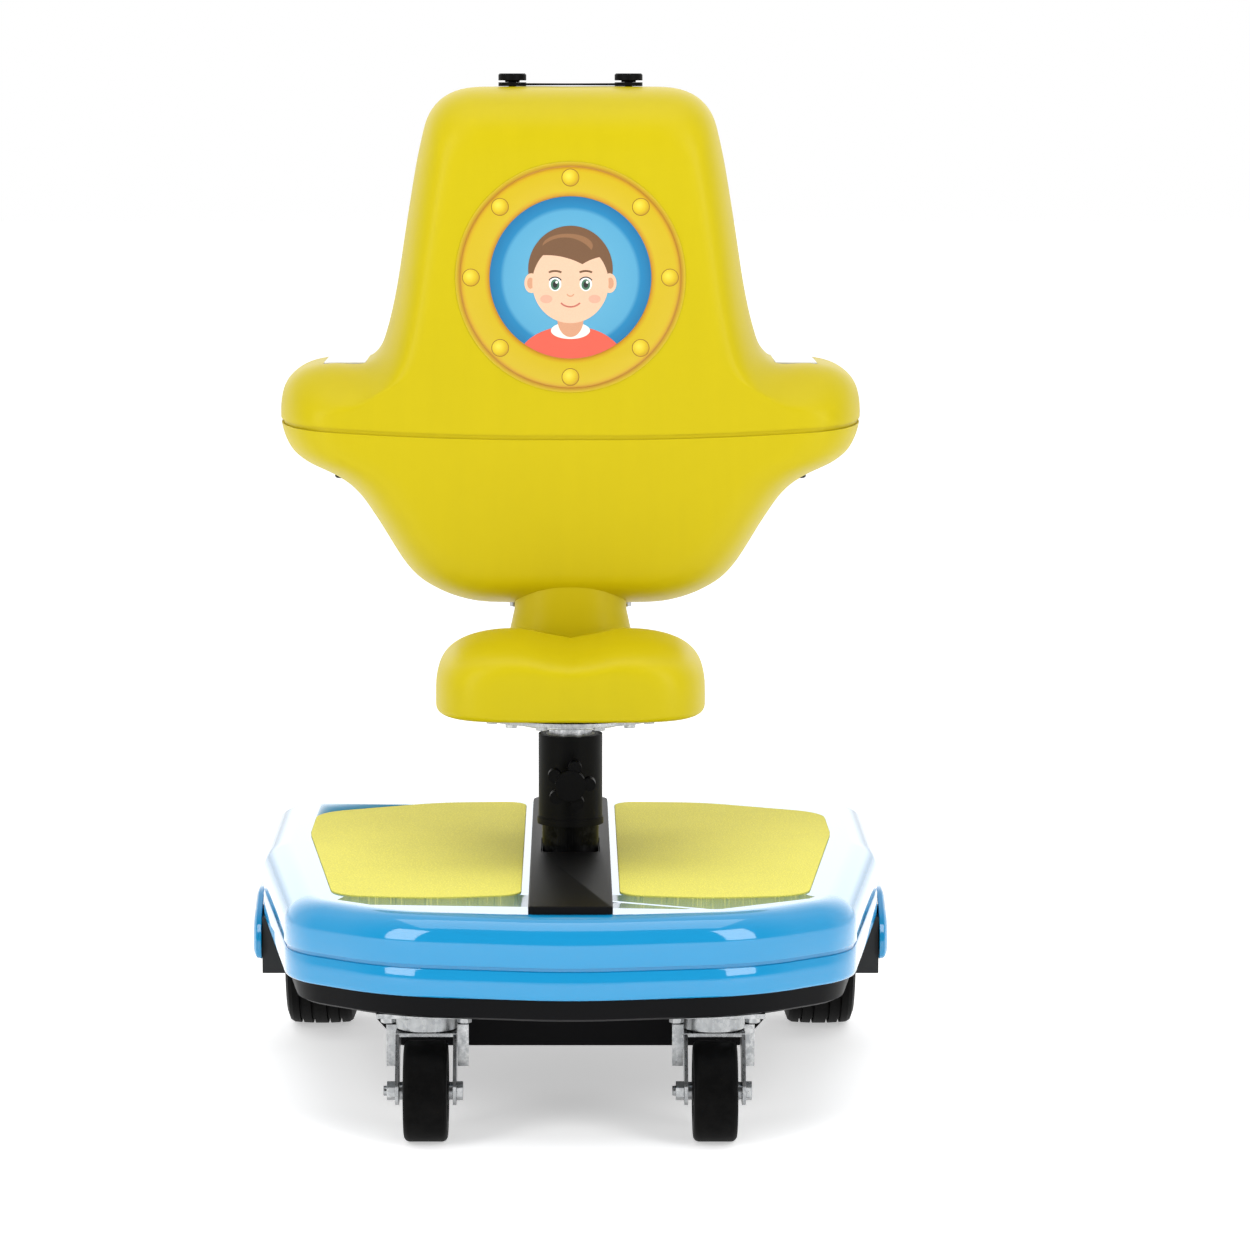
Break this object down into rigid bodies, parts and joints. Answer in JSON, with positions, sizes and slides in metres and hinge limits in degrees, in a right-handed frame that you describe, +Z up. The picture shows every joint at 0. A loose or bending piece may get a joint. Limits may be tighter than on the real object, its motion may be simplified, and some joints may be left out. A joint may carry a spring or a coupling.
{
  "type": "merry go round",
  "caption": "Wheeled children's ride seat on a blue base, with foot pads, a height-adjustable turning saddle and a tall hollow console with a porthole picture.",
  "frame": {"origin": "on the floor, under the axis about which the seat turns, at the middle of the object's outer size", "axes": "+Z up, +Y from the rider's back towards the console, +X to the rider's right"},
  "size_m": [0.688, 0.7981, 1.0591],
  "materials": {
    "blue_shell": "glossy moulded plastic",
    "yellow_shell": "satin rotomoulded plastic with a fine grain",
    "black_plastic": "satin moulded plastic",
    "liner_plastic": "dull moulded plastic",
    "black_metal": "black powder coat",
    "frame_metal": "dark grey powder coat",
    "zinc_steel": "bright zinc plating",
    "pad_rubber": "speckled anti-slip rubber",
    "tyre_rubber": "black rubber",
    "rim_metal": "cast aluminium",
    "bush_plastic": "natural acetal",
    "tray_plastic": "glossy white plastic",
    "picture_vinyl": "printed panel"
  },
  "bodies": {
    "base": {"base_shell": "blue_shell", "lower_band": "blue_shell", "skirt_pan": "black_plastic", "underbody_box": "black_plastic", "chassis_frame": "frame_metal", "fender_left": "blue_shell", "fender_right": "blue_shell", "wheel_liner_left": "liner_plastic", "wheel_liner_right": "liner_plastic", "foot_pad_left": "pad_rubber", "foot_pad_right": "pad_rubber", "center_rail": "black_plastic", "column_flange": "black_metal", "flange_screws": "zinc_steel", "column_tube": "black_metal", "column_sleeve": "black_plastic", "tube_bushes": "bush_plastic", "castor_plate_left": "zinc_steel", "castor_plate_right": "zinc_steel", "castor_bolts": "zinc_steel", "axle_beam": "frame_metal", "wheel_nuts": "zinc_steel"},
    "star_knob": {"star_knob": "black_plastic", "knob_stud": "zinc_steel"},
    "seat_post": {"seat_stem": "zinc_steel", "turntable_lower": "zinc_steel", "thrust_ring": "bush_plastic"},
    "seat": {"turntable_upper": "zinc_steel", "turntable_bolts": "zinc_steel", "support_arm": "black_metal", "saddle": "yellow_shell", "neck_cover": "yellow_shell", "console_lower": "yellow_shell", "console_upper": "yellow_shell", "console_frame": "frame_metal", "tub_bolts": "zinc_steel", "tray_left": "tray_plastic", "tray_right": "tray_plastic", "porthole_panel": "picture_vinyl", "top_clamp_plate": "black_plastic", "wing_plate_left": "black_plastic", "wing_plate_right": "black_plastic"},
    "knob_top_left": {"clamp_knob_top_left": "black_plastic"},
    "knob_top_right": {"clamp_knob_top_right": "black_plastic"},
    "knob_wing_left": {"clamp_knob_wing_left": "black_plastic"},
    "knob_wing_right": {"clamp_knob_wing_right": "black_plastic"},
    "castor_left": {"castor_fork_left": "zinc_steel", "castor_axle_left": "zinc_steel"},
    "castor_right": {"castor_fork_right": "zinc_steel", "castor_axle_right": "zinc_steel"},
    "castor_wheel_left": {"castor_tyre_left": "tyre_rubber", "castor_hub_left": "black_plastic"},
    "castor_wheel_right": {"castor_tyre_right": "tyre_rubber", "castor_hub_right": "black_plastic"},
    "front_wheel_left": {"front_tyre_left": "tyre_rubber", "front_rim_left": "rim_metal"},
    "front_wheel_right": {"front_tyre_right": "tyre_rubber", "front_rim_right": "rim_metal"}
  },
  "joints": [
    {"name": "seat_height", "type": "slide", "parent": "base", "child": "seat_post", "axis": [0, 0, 1], "range_m": [0, 0.07]},
    {"name": "seat_turn", "type": "hinge", "parent": "seat_post", "child": "seat", "pos_m": [0, 0, 0.379], "axis": [0, 0, 1], "continuous": true},
    {"name": "star_knob_turn", "type": "hinge", "parent": "base", "child": "star_knob", "pos_m": [0, -0.05, 0.315], "axis": [0, -1, 0], "range_deg": [-360, 0]},
    {"name": "castor_left_swivel", "type": "hinge", "parent": "base", "child": "castor_left", "pos_m": [-0.144, -0.305, 0.11], "axis": [0, 0, 1], "continuous": true},
    {"name": "castor_left_roll", "type": "hinge", "parent": "castor_left", "child": "castor_wheel_left", "pos_m": [-0.144, -0.342, 0.0505], "axis": [1, 0, 0], "continuous": true},
    {"name": "front_left_roll", "type": "hinge", "parent": "base", "child": "front_wheel_left", "pos_m": [-0.278, 0.242, 0.1], "axis": [1, 0, 0], "continuous": true},
    {"name": "knob_top_left_turn", "type": "hinge", "parent": "seat", "child": "knob_top_left", "pos_m": [-0.0635, 0.2144, 1.05], "axis": [0, 0, 1], "range_deg": [0, 360]},
    {"name": "knob_wing_left_turn", "type": "hinge", "parent": "seat", "child": "knob_wing_left", "pos_m": [-0.25, 0.318, 0.61], "axis": [0, 0, -1], "range_deg": [0, 360]},
    {"name": "castor_right_swivel", "type": "hinge", "parent": "base", "child": "castor_right", "pos_m": [0.144, -0.305, 0.11], "axis": [0, 0, 1], "continuous": true},
    {"name": "castor_right_roll", "type": "hinge", "parent": "castor_right", "child": "castor_wheel_right", "pos_m": [0.144, -0.342, 0.0505], "axis": [1, 0, 0], "continuous": true},
    {"name": "front_right_roll", "type": "hinge", "parent": "base", "child": "front_wheel_right", "pos_m": [0.278, 0.242, 0.1], "axis": [1, 0, 0], "continuous": true},
    {"name": "knob_top_right_turn", "type": "hinge", "parent": "seat", "child": "knob_top_right", "pos_m": [0.0635, 0.2144, 1.05], "axis": [0, 0, 1], "range_deg": [0, 360]},
    {"name": "knob_wing_right_turn", "type": "hinge", "parent": "seat", "child": "knob_wing_right", "pos_m": [0.25, 0.318, 0.61], "axis": [0, 0, -1], "range_deg": [0, 360]}
  ]
}
